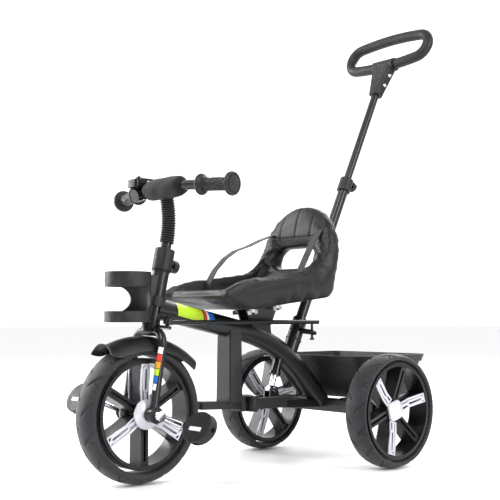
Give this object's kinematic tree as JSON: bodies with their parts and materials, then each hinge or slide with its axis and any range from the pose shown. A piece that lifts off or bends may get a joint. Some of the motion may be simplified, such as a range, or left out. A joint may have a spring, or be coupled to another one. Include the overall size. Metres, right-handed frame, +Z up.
{
  "type": "children's tricycle",
  "caption": "Pedal tricycle for a small child, with a padded bucket seat, rear basket, bottle holder and a steering push pole.",
  "frame": {"origin": "on the ground, under the middle of the overall width and length", "axes": "+Z up, the tricycle faces -Y, +X is the rider's left"},
  "size_m": [0.424, 0.8568, 0.9652],
  "materials": {
    "frame_black": "satin black powder coat",
    "black_plastic": "fine grained moulded plastic",
    "pedal_plastic": "ribbed moulded plastic",
    "wheel_plastic": "semi-gloss moulded plastic",
    "spoke_cover": "pale silver-white plastic",
    "tyre_foam": "matte closed-cell foam",
    "grip_rubber": "soft matte rubber",
    "bar_foam": "matte foam",
    "seat_cover": "dark grey leatherette",
    "webbing": "woven nylon webbing",
    "buckle_plastic": "smooth black plastic",
    "chrome_steel": "polished plating",
    "zinc_steel": "zinc plated",
    "shock_black": "glossy black",
    "shock_steel": "polished",
    "bell_plastic": "gloss moulded plastic"
  },
  "bodies": {
    "frame": {"main_tube": "frame_black", "head_tube": "frame_black", "headset_bushes": "black_plastic", "low_rail": "frame_black", "centre_post": "frame_black", "pole_socket": "frame_black", "rear_axle_beam": "frame_black", "rear_axle": "chrome_steel", "rear_bushes": "black_plastic", "shock_body": "shock_black", "shock_rod": "shock_steel", "shock_bolts": "chrome_steel", "footrest_block": "black_plastic", "footrest_pins": "chrome_steel", "seat_bracket": "frame_black", "cup_holder": "black_plastic", "basket": "black_plastic"},
    "fork": {"front_fork": "frame_black", "fork_bushes": "black_plastic", "front_fender": "black_plastic", "stem_collar": "black_plastic"},
    "front_wheel": {"front_tyre": "tyre_foam", "front_rim": "wheel_plastic", "front_spoke_covers": "spoke_cover", "front_hub_caps": "spoke_cover", "crankset": "chrome_steel"},
    "left_pedal": {"left_pedal": "pedal_plastic"},
    "right_pedal": {"right_pedal": "pedal_plastic"},
    "left_rear_wheel": {"left_rear_tyre": "tyre_foam", "left_rear_rim": "wheel_plastic", "left_rear_spoke_covers": "spoke_cover", "left_rear_hub_cap": "spoke_cover"},
    "right_rear_wheel": {"right_rear_tyre": "tyre_foam", "right_rear_rim": "wheel_plastic", "right_rear_spoke_covers": "spoke_cover", "right_rear_hub_cap": "spoke_cover"},
    "handlebar": {"handlebar_stem": "frame_black", "stem_bellows": "grip_rubber", "handlebar": "frame_black", "foam_pad": "bar_foam", "left_grip": "grip_rubber", "right_grip": "grip_rubber", "bell_body": "bell_plastic"},
    "bell_lever": {"bell_lever": "bell_plastic"},
    "stem_knob": {"stem_knob": "black_plastic"},
    "link": {"link_rod": "frame_black"},
    "push_pole": {"lower_pole": "frame_black", "pole_lever": "frame_black", "pole_collar": "black_plastic"},
    "upper_pole": {"upper_pole": "frame_black", "handle_bracket": "black_plastic", "push_handle": "grip_rubber"},
    "pole_knob": {"pole_knob": "black_plastic"},
    "left_footrest": {"left_footrest": "black_plastic"},
    "right_footrest": {"right_footrest": "black_plastic"},
    "seat": {"seat_pad": "seat_cover", "seat_board": "black_plastic", "seat_wing_nuts": "zinc_steel", "harness_straps": "webbing", "harness_buckle": "buckle_plastic"}
  },
  "joints": [
    {"name": "steering", "type": "hinge", "parent": "frame", "child": "fork", "pos_m": [0, -0.28189, 0.27245], "axis": [0, 0.2176, 0.976], "range_deg": [-30, 30]},
    {"name": "pole_turn", "type": "hinge", "parent": "frame", "child": "push_pole", "pos_m": [0, 0.08408, 0.249], "axis": [0, 0.4352, 0.9003], "range_deg": [-32, 32]},
    {"name": "link_swing", "type": "hinge", "parent": "fork", "child": "link", "pos_m": [0.036, -0.26843, 0.28687], "axis": [0, 0.2176, 0.976], "range_deg": [-30, 30]},
    {"name": "front_wheel_spin", "type": "hinge", "parent": "fork", "child": "front_wheel", "pos_m": [0, -0.30392, 0.1245], "axis": [1, 0, 0], "continuous": true},
    {"name": "left_pedal_spin", "type": "hinge", "parent": "front_wheel", "child": "left_pedal", "pos_m": [0.106, -0.25014, 0.10277], "axis": [1, 0, 0], "continuous": true},
    {"name": "right_pedal_spin", "type": "hinge", "parent": "front_wheel", "child": "right_pedal", "pos_m": [-0.106, -0.35769, 0.14623], "axis": [1, 0, 0], "continuous": true},
    {"name": "left_rear_wheel_spin", "type": "hinge", "parent": "frame", "child": "left_rear_wheel", "pos_m": [0.186, 0.17108, 0.1125], "axis": [1, 0, 0], "continuous": true},
    {"name": "right_rear_wheel_spin", "type": "hinge", "parent": "frame", "child": "right_rear_wheel", "pos_m": [-0.186, 0.17108, 0.1125], "axis": [1, 0, 0], "continuous": true},
    {"name": "handlebar_height", "type": "slide", "parent": "fork", "child": "handlebar", "axis": [0, 0.2176, 0.976], "range_m": [0, 0.03]},
    {"name": "stem_knob_turn", "type": "hinge", "parent": "fork", "child": "stem_knob", "pos_m": [0, -0.24032, 0.39228], "axis": [0, 0.976, -0.2176], "range_deg": [0, 180]},
    {"name": "bell_lever_push", "type": "hinge", "parent": "handlebar", "child": "bell_lever", "pos_m": [-0.06803, -0.26151, 0.56015], "axis": [0, 0, 1], "range_deg": [0, 20], "stiffness_Nm_per_rad": 0.05, "springref_deg": -5.73},
    {"name": "pole_extend", "type": "slide", "parent": "push_pole", "child": "upper_pole", "axis": [0, 0.4352, 0.9003], "range_m": [-0.2, 0.02]},
    {"name": "pole_knob_turn", "type": "hinge", "parent": "push_pole", "child": "pole_knob", "pos_m": [0, 0.26197, 0.59285], "axis": [0, 0.9003, -0.4352], "range_deg": [0, 180]},
    {"name": "left_footrest_fold", "type": "hinge", "parent": "frame", "child": "left_footrest", "pos_m": [0.025, -0.05092, 0.128], "axis": [0, 0, -1], "range_deg": [0, 90]},
    {"name": "right_footrest_fold", "type": "hinge", "parent": "frame", "child": "right_footrest", "pos_m": [-0.025, -0.05092, 0.128], "axis": [0, 0, 1], "range_deg": [0, 90]},
    {"name": "seat_adjust", "type": "slide", "parent": "frame", "child": "seat", "axis": [0, -0.9919, -0.1271], "range_m": [0, 0.02]}
  ],
  "couplings": [
    {"joint": "pole_turn", "follows": "steering", "ratio": 1.05},
    {"joint": "link_swing", "follows": "steering", "ratio": -1}
  ]
}
